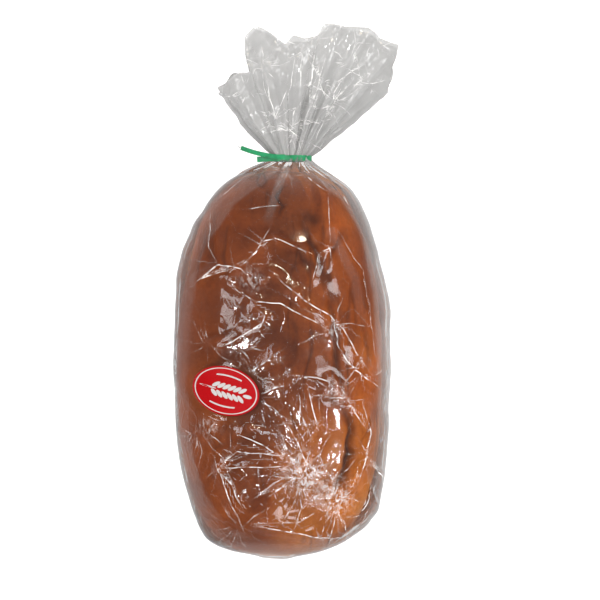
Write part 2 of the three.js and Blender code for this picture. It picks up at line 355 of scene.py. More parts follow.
def crust():
    """Baked crust: red brown on the crown, more orange towards the base and the far end, darker on the left
    flank and a little paler on the right as painted shade, with soft blotches, fine speckle, and grooves and
    wrinkles darkened as painted shade. A little sheen where the dough's skin is closed."""
    material = bpy.data.materials.new("crust")
    tree = nodes_of(material)
    place = add(tree, "TexCoord").outputs["Object"]
    split = add(tree, "SeparateXYZ", {"Vector": place})
    blotch = add(tree, "TexNoise", {"Vector": place, "Scale": 26.0, "Detail": 3.0, "Roughness": 0.5})
    patch = add(tree, "TexNoise", {"Vector": place, "Scale": 9.0, "Detail": 3.0, "Distortion": 0.6})
    along = add(tree, "MapRange", {"Value": split.outputs["Y"], "From Min": -0.20, "From Max": -0.06,
                                   "To Min": 0.25, "To Max": 0.0})
    # Darker towards the left flank and a little paler on the right: painted shade from how the light falls
    # across the loaf.
    left_painted_shade = add(tree, "MapRange", {"Value": split.outputs["X"], "From Min": -0.065, "From Max": 0.065,
                                   "To Min": -0.26, "To Max": 0.06})
    down = add(tree, "MapRange", {"Value": split.outputs["Z"], "From Min": 0.02, "From Max": 0.06,
                                  "To Min": 0.35, "To Max": 0.0})
    paler = add(tree, "Math", {0: along.outputs[0], 1: left_painted_shade.outputs[0]}, operation="ADD")
    paler = add(tree, "Math", {0: paler.outputs[0], 1: down.outputs[0]}, operation="ADD")
    mottle = add(tree, "Math", {0: patch.outputs["Fac"], 1: 1.25}, operation="MULTIPLY")
    bake = add(tree, "Math", {0: paler.outputs[0], 1: mottle.outputs[0]}, operation="ADD")
    bake = add(tree, "Math", {0: bake.outputs[0], 1: -0.25}, operation="ADD")
    base = ramp(tree, bake.outputs[0], [(0.1, (0.190, 0.042, 0.008)), (0.38, (0.320, 0.076, 0.013)),
                                        (0.62, (0.470, 0.142, 0.024)), (0.95, (0.600, 0.228, 0.044))])
    tint = ramp(tree, blotch.outputs["Fac"], [(0.32, (0.76, 0.69, 0.63)), (0.52, (1, 1, 1)),
                                              (0.72, (1.24, 1.20, 1.08))])
    toned = add(tree, "Mix", {"Factor": 1.0, 6: base, 7: tint}, data_type="RGBA", blend_type="MULTIPLY")
    grain = add(tree, "TexNoise", {"Vector": place, "Scale": 420.0, "Detail": 3.0})
    speck = ramp(tree, grain.outputs["Fac"], [(0.35, 0.90), (0.6, 1.03)])
    speckled = add(tree, "Mix", {"Factor": 1.0, 6: toned.outputs[2], 7: speck}, data_type="RGBA",
                   blend_type="MULTIPLY")
    groove = add(tree, "Attribute", attribute_name="groove").outputs["Fac"]
    wrinkle = add(tree, "Attribute", attribute_name="wrinkle").outputs["Fac"]
    # Wrinkles and grooves are mixed towards near black: painted shade in the hollows. The stain carried in
    # the groove attribute is a darker bake.
    wrinkle_shade = add(tree, "Math", {0: wrinkle, 1: 0.60}, operation="MULTIPLY")
    shade_and_stain = add(tree, "Math", {0: groove, 1: wrinkle_shade.outputs[0]}, operation="MAXIMUM")
    coloured = add(tree, "Mix", {"Factor": shade_and_stain.outputs[0], 6: speckled.outputs[2],
                                 7: (0.050, 0.014, 0.008, 1)}, data_type="RGBA")
    skin = add(tree, "TexNoise", {"Vector": place, "Scale": 160.0, "Detail": 6.0, "Roughness": 0.62})
    pores = add(tree, "TexVoronoi", {"Vector": place, "Scale": 330.0})
    height = add(tree, "Math", {0: skin.outputs["Fac"], 1: pores.outputs["Distance"]}, operation="ADD")
    bump = add(tree, "Bump", {"Height": height.outputs[0], "Strength": 0.28, "Distance": 0.0005})
    rough = add(tree, "MapRange", {"Value": blotch.outputs["Fac"], "To Min": 0.42, "To Max": 0.62})
    surface = add(tree, "BsdfPrincipled", {"Base Color": coloured.outputs[2], "Roughness": rough.outputs[0],
                                           "Normal": bump.outputs[0], "Specular IOR Level": 0.22})
    out = add(tree, "OutputMaterial")
    tree.links.new(surface.outputs[0], out.inputs["Surface"])
    return material


loaf = loaf_piece()
loaf.data.materials.append(crust())
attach(loaf, "root")
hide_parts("loaf")


# ---------------------------------------------------------------------------------------------------
# The bag. One tube of clear film, closed across the tail, slack over the loaf, gathered at the neck and
# spread into a ruff past it. Where layers lie over each other, or hang clear of the loaf, it looks milky.

NECK = np.array([5.6, 99.9])
NECK_LEVEL = 36.0  # height of the neck's middle
NECK_HALF = (12.0, 6.3)  # half width and half height of the neck
FILM_LEVEL = 31.0  # height of the bag's widest level
FILM_SQUARENESS = 2.6  # exponent of its cross section
FILM_CROWN, FILM_BELLY = 0.655, 0.60  # its height over and under that level, as a share of its half width
FILM_GAP = 2.2  # from the smooth loaf to the film, at least

# The bag's left and right edges in plan, from the tail to the neck: [y, left x, right x].
BAG_EDGES = np.array([
    (-199.5, -12, 0), (-197, -32, 14), (-193, -46, 30), (-186, -59, 46), (-176, -65, 62),
    (-164, -69.5, 71.5), (-142, -75, 75.5), (-110, -80, 77.5), (-60, -83.5, 79.5), (-15, -83.5, 79.3),
    (12, -81.5, 74.5), (32, -77, 69.5), (52, -68, 63), (68, -56, 56.5), (78, -46.5, 50), (86, -38, 38),
    (92, -28, 27), (96.5, -13, 20), (99.9, -7.4, 18.6),
])

# Sharp creases in the film over the loaf and in the ruff: points in plan, then height and half width.
FILM_CREASES = [
    ([(-6, 39), (14, 30), (18, 28)], 1.0, 2.0),
    ([(-8, 38), (-16, 36), (-20, 28), (-30, 19)], 1.6, 4.5),
    ([(-63, 8), (-47, 20), (-31, 16), (-26, 12)], 1.0, 2.2),
    ([(-63, 8), (-52, 13), (-40, 15)], 1.0, 2.4),
    ([(-39, 6), (-33, 0), (-20, -7), (-3, -8), (13, -17), (33, -28)], 1.1, 2.2),
    ([(-7, 12), (14, -6), (34, -18), (43, -27), (52, -44), (62, -60)], 1.1, 2.4),
    ([(36, -22), (40, -42), (52, -58), (66, -68)], 1.6, 4.0),
    ([(25, 27), (21, 9)], 0.9, 1.8),
    ([(25, 27), (33, 32), (35, 22)], 0.8, 1.8),
    ([(-48, -41), (-30, -32), (-14, -22)], 1.5, 3.4),
    ([(-20, -12), (-14, -18), (-17, -26), (-24, -28)], 1.1, 2.4),
    ([(-28, -60), (-15, -52), (-3, -43)], 1.1, 2.6),
    ([(-19, -75), (-8, -70), (3, -67)], 1.2, 2.6),
    ([(-18, -80), (-8, -84), (-3, -90)], 1.0, 2.4),
    ([(-33, -104), (-18, -110), (-3, -118)], 1.1, 2.4),
    ([(-47, -128), (-34, -116), (-12, -118), (4, -120)], 1.1, 2.2),
    ([(-47, -128), (-20, -127), (12, -127)], 1.0, 2.0),
    ([(1, -95), (9, -108), (20, -133)], 1.2, 2.4),
    ([(-11, -149), (0, -140), (12, -133)], 1.1, 2.4),
    ([(-51, -122), (-42, -143), (-30, -174)], 1.1, 2.6),
    ([(-46, -132), (-38, -140), (-31, -156)], 1.2, 3.0),
    ([(-21, -169), (-6, -168), (12, -167), (22, -161)], 1.1, 2.2),
    ([(-21, -171), (4, -175), (27, -179), (45, -181)], 1.1, 2.2),
    ([(56, -80), (62, -103), (58, -126), (53, -140)], 1.2, 2.4),
    ([(61, -122), (72, -136), (75, -154)], 1.1, 2.2),
    ([(34, -62), (31, -77), (45, -77), (35, -62)], 1.0, 2.2),
    ([(42, -73), (54, -92), (58, -100)], 1.0, 2.2),
    ([(17, -70), (21, -85), (25, -100)], 1.2, 2.6),
    ([(10, -74), (13, -90), (20, -106)], 1.0, 2.2),
    ([(6, -60), (24, -62), (44, -70)], 0.9, 2.0),
    ([(-26, 60), (-4, 62)], 0.6, 1.8),
    ([(11.5, 88), (31, 74)], 0.45, 1.6),
    ([(32.5, 72), (33, 50), (33, 34)], 0.45, 1.6),
    ([(39, 44), (58, 15), (62, -10), (68, -57)], 0.4, 1.8),
    ([(-24, 88), (-41, 72), (-52, 65)], 0.35, 1.8),
    ([(-54, 63), (-55, 32), (-49, 23)], 0.4, 1.8),
    ([(24, 184), (20, 155), (17, 129)], 0.9, 1.2),
    ([(12.6, 179), (12.6, 151)], 0.8, 1.2),
    ([(58, 167), (48, 162), (39, 156)], 0.8, 1.2),
    ([(41, 156), (36, 148), (34, 134)], 0.9, 1.2),
    ([(47, 153), (38, 144), (31, 131)], 0.9, 1.2),
    ([(-12.4, 154), (-10, 140), (-6, 129)], 0.9, 1.2),
    ([(74, 156), (66, 154), (57, 155)], 0.7, 1.2),
    ([(-19, 165), (-26, 164), (-34, 161)], 0.7, 1.2),
    ([(8, 172), (4, 150), (3, 128)], 0.7, 1.2),
    ([(30, 172), (24, 150), (14, 124)], 0.6, 1.2),
]
CRUMPLE_CENTRE, CRUMPLE_REACH = (22, -138), 21  # where the film is crushed hardest, near the tail

# Points that short creases run out from: middle, how many, shortest and longest, and height.
CREASE_STARS = [
    ((14, -132), 34, 6, 44, 0.75), ((38, -152), 26, 5, 32, 0.75), ((28, -141), 24, 3, 20, 0.8),
    ((-33, -172), 8, 10, 44, 0.4), ((41, -76), 6, 8, 34, 0.5), ((33, -27), 6, 8, 34, 0.5),
    ((-44, -127), 5, 8, 30, 0.4), ((-24, 22), 4, 8, 30, 0.35), ((-30, -42), 5, 8, 30, 0.4),
    ((56, -122), 7, 8, 34, 0.5), ((64, -160), 7, 6, 30, 0.5), ((-60, -104), 9, 5, 24, 0.45),
    ((5, -66), 4, 8, 34, 0.3), ((-10, -100), 4, 8, 34, 0.4), ((24, -95), 7, 4, 24, 0.45),
    ((60, -60), 4, 8, 30, 0.4), ((3, 90), 18, 8, 40, 0.32), ((-9, 127), 16, 3, 22, 0.8),
    ((34, 140), 18, 3, 26, 0.8), ((6, 120), 18, 4, 30, 0.8), ((48, 168), 8, 4, 24, 0.5),
    ((-15, 166), 8, 4, 22, 0.5), ((62, 156), 8, 4, 22, 0.5), ((24, 152), 9, 4, 26, 0.6),
    ((-28, 148), 7, 4, 20, 0.5), ((18, 182), 6, 4, 20, 0.45), ((66, 182), 5, 4, 20, 0.45),
    ((-22, -62), 5, 5, 26, 0.45), ((-54, -38), 4, 5, 20, 0.4),
]

# Flat places between creases: their corners in plan, then the direction they face, in degrees from +X
# towards +Y, and their tilt.
FILM_FACETS = [
    ([(-14, 38), (-6, 40), (-7, 35), (-19, 29), (-30, 20)], 8, 13),
    ([(12, 32), (18, 30), (12, 26)], 70, 12),
    ([(12, -14), (34, -26), (27, -14)], 8, 12),
    ([(43, -24), (52, -42), (67, -68), (47, -52), (34, -40)], 10, 14),
    ([(-63, 9), (-46, 21), (-37, 16)], 172, 14),
    ([(-34, -13), (-23, -19), (-26, -25), (-34, -22)], 180, 12),
    ([(-46, -40), (-14, -21), (-16, -31)], 282, 13),
    ([(-48, -24), (-40, -26), (-45, -33)], 176, 13),
    ([(-28, -96), (-2, -101), (-4, -107), (-28, -101)], 283, 14),
    ([(10, -127), (30, -109), (24, -121)], 8, 12),
    ([(18, -101), (24, -103), (18, -117)], 180, 11),
    ([(-40, -147), (-29, -159), (-35, -163)], 178, 13),
    ([(34, -58), (28, -78), (46, -76)], 10, 12),
    ([(45, -76), (58, -88), (50, -90)], 8, 13),
    ([(11, -156), (26, -139), (21, -159)], 283, 15),
    ([(34, -131), (47, -147), (38, -156)], 5, 14),
    ([(4, -142), (15, -148), (6, -158)], 180, 12),
    ([(24, -150), (33, -160), (25, -168)], 284, 16),
    ([(58, -131), (66, -146), (70, -158), (60, -146)], 6, 16),
    ([(61, -84), (65, -98), (58, -104)], 8, 15),
    ([(-51, -125), (-46, -120), (-40, -134)], 176, 14),
    ([(-10, 12), (-22, 9), (-16, 2)], 180, 11),
    ([(30, 15), (38, 24), (33, 8)], 5, 13),
]


def crease_lines():
    """Every crease as (line, height): the ones above, and the stars' straight ones."""
    random = np.random.default_rng(17)
    lines = [(line, height) for line, height, _ in FILM_CREASES]
    for middle, count, short, long, height in CREASE_STARS:
        for angle in (np.arange(count) + random.uniform(-0.4, 0.4, count)) * 2 * np.pi / count:
            way = np.array([np.cos(angle), np.sin(angle)])
            side = np.array([-way[1], way[0]])
            reach = short + (long - short) * random.uniform() ** 2.2
            begin = middle + way * random.uniform(0.5, 7) + side * random.uniform(-4, 4)
            way = way + side * random.uniform(-0.5, 0.5)
            bend = begin + way * reach * 0.5 + side * reach * random.uniform(-0.12, 0.12)
            lines.append(([begin, bend, begin + way * reach], height * random.uniform(0.5, 1.1)))
    return lines


def triangle_wave(phase):
    """Straight ramps up and down between -1 and 1, once for each whole number of phase."""
    return 4 * np.abs(phase - np.floor(phase + 0.5)) - 1


def facets(plan, spacing, seed, count=7):
    """A sum of triangle waves in random directions, which is flat between straight creases: crumpled film
    seen as a height."""
    random = np.random.default_rng(seed)
    total = np.zeros(plan.shape[:-1])
    for _ in range(count):
        angle = random.uniform(0, np.pi)
        step = spacing * random.uniform(0.6, 1.7)
        phase = plan @ np.array([np.cos(angle), np.sin(angle)]) / step + random.uniform()
        total += triangle_wave(phase) * step / spacing
    return total / count


FACET_BOW = 0.0010  # a facet's plane falls this many millimetres one millimetre from its middle
FACET_DEPTH = 0.7  # it lies this far under the highest point that it replaces


def flattened(points, corners, direction, tilt, where):
    """Heights with one facet pressed flat: inside its corners the surface is a plane, very slightly bowed,
    that tilts towards the direction, and a 1.5 mm border blends it in."""
    plan, height = points[..., :2], points[..., 2]
    middle = corners.mean(0)
    near = np.full(height.shape, 1e9)
    turn = np.cross(corners[1] - corners[0], corners[2] - corners[1])
    for begin, end in zip(corners, np.roll(corners, -1, axis=0)):
        way = (end - begin) / np.linalg.norm(end - begin) * np.sign(turn)
        out = plan - begin
        near = np.minimum(near, way[0] * out[..., 1] - way[1] * out[..., 0])
    inside = smooth_step(-0.4, 1.1, near) * where
    if not inside.any():
        return height
    facing = np.radians(direction)
    slope = -np.tan(np.radians(tilt)) * np.array([np.cos(facing), np.sin(facing)])
    plane = (plan - middle) @ slope - FACET_BOW * ((plan - middle) ** 2).sum(-1)
    plane += (height - plane)[inside > 0.5].max() - FACET_DEPTH if (inside > 0.5).any() else 0
    return height + inside * (plane - height)


def film_grid():
    """The film's grid: turn goes round from underneath, with more columns on the upper side, and rows run
    from the tail to the neck and on to the rim."""
    columns, body_rows, ruff_rows = 268, 270, 92
    turn = np.linspace(-np.pi, np.pi, columns, endpoint=False)
    turn = turn - 0.45 * np.sin(turn)
    tail = np.linspace(0, 1, body_rows)
    y = BAG_EDGES[0, 0] + (BAG_EDGES[-1, 0] - BAG_EDGES[0, 0]) * (tail - 0.055 * np.sin(2 * np.pi * tail))
    ruff = np.linspace(0, 1, ruff_rows + 1)[1:]
    return turn, y, ruff


def smooth_edges(y):
    """Left and right edge of the bag at y, from the list of edges, with the corners of the list rounded by
    a running average over 5 mm."""
    offsets = np.linspace(-2.5, 2.5, 7)
    at = np.clip(y[:, None] + offsets, BAG_EDGES[0, 0], BAG_EDGES[-1, 0])
    left = np.interp(at, BAG_EDGES[:, 0], BAG_EDGES[:, 1]).mean(1)
    right = np.interp(at, BAG_EDGES[:, 0], BAG_EDGES[:, 2]).mean(1)
    return left, right


def body_base_shape(turn, y):
    """The slack film over the loaf: each cross section is a superellipse between the bag's two edges,
    with its crown just over the loaf's and its underside flat on the table."""
    left, right = smooth_edges(y)
    half, middle = ((right - left) / 2)[:, None], ((right + left) / 2)[:, None]
    side, rise = np.sin(turn)[None, :], np.cos(turn)[None, :]
    necking = smooth_step(72, 97, y)[:, None]
    squareness = FILM_SQUARENESS + (2 - FILM_SQUARENESS) * necking
    reach = half / square_length(side, rise, squareness)
    ratio = np.where(rise > 0, FILM_CROWN, FILM_BELLY) * (1 - necking)
    ratio = ratio + necking * NECK_HALF[1] / NECK_HALF[0]
    level = FILM_LEVEL + (NECK_LEVEL - FILM_LEVEL) * necking
    x = middle + reach * side
    z = np.maximum(level + reach * rise * ratio, 0.25)
    return np.stack([x, np.broadcast_to(y[:, None], x.shape), z], -1)


# The rim of the ruff, measured from the neck: [direction in degrees from +Y towards +X, distance].
RIM = np.array([
    (-46, 70), (-42, 71), (-33, 73), (-25, 69), (-24, 82), (-21, 94), (-15, 99), (-9, 92), (-3, 82),
    (1, 88), (6, 87), (12, 92), (13.5, 101), (22, 103), (30, 109), (36, 108), (43, 113), (47, 97), (53, 88),
    (58, 80),
])
FAN_MIDDLE, FAN_HALF = 4.0, 51.0  # degrees
RUFF_OPENING = 18.0  # how far each layer has moved from the middle at the rim
RUFF_SAG = 5.0  # how far the lower layer reaches past the upper one


def ruff_base_shape(turn, share):
    """The ruff: a flattened cone from the neck to a ragged rim. A column's direction in plan follows the
    sine of its turn, and its length the rim at that direction, a little longer underneath."""
    fan = FAN_MIDDLE + FAN_HALF * np.sin(turn)
    ring = np.stack([np.cos(turn) * 40, np.sin(turn) * 40, np.zeros_like(turn)], -1)
    ragged = 2.0 * value_noise(ring, 6, 71) + 0.7 * value_noise(ring, 3, 72)
    length = np.interp(fan, RIM[:, 0], RIM[:, 1]) + ragged
    under = smooth_step(0.1, -0.4, np.cos(turn))
    length = length + under * (RUFF_SAG - 4 * np.abs(value_noise(ring, 16, 73)))
    share = share[:, None]
    angle = np.radians(fan)[None, :]
    run = share * length[None, :]
    x = NECK[0] + NECK_HALF[0] * np.sin(turn) * (1 - 0.8 * share) + run * np.sin(angle)
    y = NECK[1] + run * np.cos(angle)
    opening = NECK_HALF[1] + RUFF_OPENING * np.sin(share * np.pi / 2) ** 0.9
    z = NECK_LEVEL + 4 * share + opening * np.cos(turn)[None, :]
    return np.stack([x, y, z], -1)


def pleats(turn, seed, count=15):
    """Pleats round the neck: triangle waves of uneven width and height."""
    random = np.random.default_rng(seed)
    lay = turn / (2 * np.pi) * count
    wander = sum(random.uniform(-0.5, 0.5) * np.sin(k * turn + random.uniform(0, 6.3)) for k in (1, 2, 3, 5))
    height = 1 + 0.45 * np.sin(3 * turn + random.uniform(0, 6.3)) + 0.3 * np.sin(7 * turn + 1)
    fine = 0.35 * triangle_wave(2.3 * lay + 2 * wander)
    return triangle_wave(lay + wander) * height * 0.7 + fine


def crease_field(bent, shown):
    """Signed distance to the nearest crease at each point of the plan, and that crease's height, which
    tapers off towards the crease's ends."""
    nearest, height_there = np.full(bent.shape[:2], 50.0), np.zeros(bent.shape[:2])
    for line, height in crease_lines():
        away, share = line_distance(bent, line)
        closer = np.abs(away) < np.abs(nearest)
        nearest = np.where(closer, away, nearest)
        tapered = height * np.sin(np.pi * np.clip(share, 0.03, 0.97)) ** 0.6
        height_there = np.where(closer, tapered, height_there)
    return nearest, height_there * shown


def film_piece():
    """The film: the body's and the ruff's smooth shapes joined at the neck, then moved along the normal by
    pleats that fade away from the neck, by facets, and by sharp creases."""
    turn, y, share = film_grid()
    points = np.concatenate([body_base_shape(turn, y), ruff_base_shape(turn, share)])
    normals = grid_normals(points)
    plan = points[..., :2]
    upper = smooth_step(0.05, 0.5, normals[..., 2])
    from_neck = points[..., 1] - NECK[1]
    in_ruff = np.concatenate([np.zeros(len(y)), share])[:, None]
    body = in_ruff == 0
    free = 1 - label_cover(plan) * body
    # Pleats, tight at the neck.
    gather = np.where(from_neck < 0, np.exp(from_neck / 16), 1)
    size = np.where(body, 1.1 * gather * smooth_step(0, -6, from_neck) + 0.9 * gather,
                    0.6 + 1.9 * np.sin(np.pi * np.clip(in_ruff, 0, 1) ** 0.7))
    shift = size * pleats(turn, 5)[None, :]
    # Facets, large where the film is calm and small where it is crumpled.
    lying = plan + 5 * np.stack([value_noise(points, 30, 81), value_noise(points, 30, 82)], -1)
    crumple = np.exp(-((np.hypot(*np.moveaxis(plan - CRUMPLE_CENTRE, -1, 0)) / CRUMPLE_REACH) ** 2))
    busy = smooth_step(-0.3, 0.6, layered_noise(points, 42, 91, 2))
    busy = np.maximum(busy * (0.35 + 0.65 * smooth_step(30, -60, plan[..., 1])), crumple)
    on_body = 1.9 * facets(lying, 60, 101, 4) + 0.55 * (0.2 + busy) * facets(lying, 24, 102, 5)
    on_ruff = 2.6 * facets(lying, 36, 103, 4) + 1.6 * facets(lying, 14, 104, 5)
    shift += np.where(body, free * on_body, in_ruff**0.5 * on_ruff)
    shift += 0.8 * crumple * facets(lying, 12, 105, 4) * body * free
    # Creases.
    bent = plan + 0.8 * np.stack([value_noise(points, 7, 83), value_noise(points, 7, 84)], -1)
    shown = np.where(body, upper * free, points[..., 2] > NECK_LEVEL)
    for line, height, width in FILM_CREASES:
        away, _ = line_distance(bent, line)
        shift += 0.9 * height * np.maximum(0, 1 - np.abs(away) / (3 * width)) * shown
    nearest, sharp = crease_field(bent, shown)
    points = points + normals * shift[..., None]
    for corners, direction, tilt in FILM_FACETS:
        where = body & (upper > 0.2)
        points[..., 2] = flattened(points, np.array(corners, float), direction, tilt, where)
    points = clear_of_loaf(points)
    points[..., 2] = np.maximum(points[..., 2], 0.2)
    piece = tube_mesh("bag_film", points, start_pole=points[0].mean(0) - (0, 0.2, 0))
    set_attribute(piece, "haze", film_haze(points, plan, in_ruff))
    set_attribute(piece, "crease_away", nearest)
    set_attribute(piece, "crease_height", sharp)
    set_attribute(piece, "in_ruff", smooth_step(0, 0.08, in_ruff) + np.zeros(plan.shape[:2]))
    # Crushed places get painted highlights: white chips standing for glints.
    set_attribute(piece, "glint_patch", glint_patch_share(plan) * body * (points[..., 2] > FILM_LEVEL))
    set_attribute(piece, "crumple", np.where(body, busy * free, 0.7))
    return piece


def clear_of_loaf(points):
    """Moves points that would cut the loaf out to the film's gap over its smooth shape, along the line
    from its middle."""
    low, high = loaf_box()
    centre = (low + high) / 2
    centre[2] = LOAF_WAIST
    out = points - centre
    half = (high - low) / 2
    ahead = out[..., 1] / (half[1] + FILM_GAP)
    side = out[..., 0] / (half[0] + FILM_GAP) / (1 - LOAF_TAPER * np.clip(ahead, -1, 1))
    rise = out[..., 2] / (np.where(out[..., 2] > 0, high[2] - LOAF_WAIST, LOAF_BELLY) + FILM_GAP)
    size = square_length(square_length(side, rise, LOAF_SQUARENESS[0]), ahead, LOAF_SQUARENESS[1])
    size = np.maximum(size, 1e-6)
    inside = (size < 1) & (points[..., 2] > 3)
    grown = centre + out / size[..., None]
    return np.where(inside[..., None], grown, points)


def film_haze(points, plan, in_ruff):
    """Share of the light that the film scatters instead of letting through: little where one layer lies
    on the loaf, more in doubled layers, along the sides, where it is partly painted sheen, and through the
    ruff."""
    x, y = plan[..., 0], plan[..., 1]
    left, right = smooth_edges(np.clip(y[:, 0], BAG_EDGES[0, 0], BAG_EDGES[-1, 0]))
    inset = np.minimum(x - left[:, None], right[:, None] - x)
    body = in_ruff == 0
    # A milkier band along the sides, heavier on the right: partly film lying double there, partly a painted
    # sheen standing for the grazing-angle reflection of the steep sides.
    side = np.where(x < 0, 0.10, 0.38) * smooth_step(np.where(x < 0, 8, 13), 0, inset)
    doubled = np.zeros(x.shape)
    for line, width, amount in VEILS:
        away, share = line_distance(plan, line)
        away = np.abs(away)
        doubled = np.maximum(doubled, amount * (1 - share**3) * smooth_step(width + 1.5, width - 1, away))
    near_neck = 0.42 * np.exp(-np.hypot(x - NECK[0], (y - NECK[1]) * 1.3) / 15)
    uneven = 0.9 + 0.35 * layered_noise(points, (22, 30, 22), 113, 4)
    band = side * smooth_step(2, FILM_LEVEL, points[..., 2]) * uneven
    on_body = 0.008 + band + (doubled + near_neck) * smooth_step(4, 36, points[..., 2])
    clouds = 0.08 * value_noise(points, 18, 111) + 0.06 * value_noise(points, 5, 112)
    in_fan = 0.80 + 0.07 * smooth_step(25, 60, x) + clouds + 0.08 * smooth_step(0.975, 0.99, in_ruff)
    return np.clip(np.where(body, on_body, in_fan), 0, 0.9)


def glint_patch_share(plan):
    """Share of painted highlight where the film is crushed: a bell round each of the places listed below."""
    share = np.zeros(plan.shape[:-1])
    for middle, reach, amount in GLINT_PATCHES:
        away = np.hypot(plan[..., 0] - middle[0], plan[..., 1] - middle[1]) / reach
        share = np.maximum(share, amount * np.exp(-(away**2)))
    return share


# Stretches where the film lies double over the loaf: points in plan, half width, and how milky.
VEILS = [
    ([(2, 92), (-4, 78), (-9, 60), (-13, 48)], 2.6, 0.15),
    ([(-14, 90), (-42, 68), (-64, 40), (-74, 10), (-78, -30)], 8.0, 0.10),
    ([(20, 92), (46, 74), (64, 42), (72, 0), (75, -50), (75, -110), (70, -160)], 6.5, 0.18),
    ([(34, 44), (52, 10), (60, -30)], 3.0, 0.07),
    ([(-76, -110), (-66, -150), (-46, -178)], 7.0, 0.13),
    ([(-50, -178), (-20, -188), (30, -186), (56, -168)], 6.0, 0.05),
]

# Places where the film is crushed, with white chips painted on as highlights that stand for glints: middle,
# reach and how white.
GLINT_PATCHES = [
    ((14, -134), 11, 0.50), ((38, -151), 9, 0.60), ((27, -142), 12, 0.22), ((10, -120), 7, 0.25),
    ((-54, -100), 6, 0.22), ((40, -76), 6, 0.25), ((-24, 8), 7, 0.2), ((34, -30), 5, 0.2),
]

LABEL_TURN = np.radians(-15)
LABEL_HALF = np.array([25.0, 17.6])  # half its length and half its width


def label_middle():
    """The label's middle in plan."""
    low, high = np.array(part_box("label")) / MM
    return (low[:2] + high[:2]) / 2


def label_cover(plan):
    """1 under the label, falling to 0 a few millimetres outside it: the paper keeps the film smooth."""
    out = plan - label_middle()
    u = out @ np.array([np.cos(LABEL_TURN), np.sin(LABEL_TURN)]) / (LABEL_HALF[0] + 1)
    v = out @ np.array([-np.sin(LABEL_TURN), np.cos(LABEL_TURN)]) / (LABEL_HALF[1] + 1)
    return smooth_step(1.2, 1.0, np.hypot(u, v))


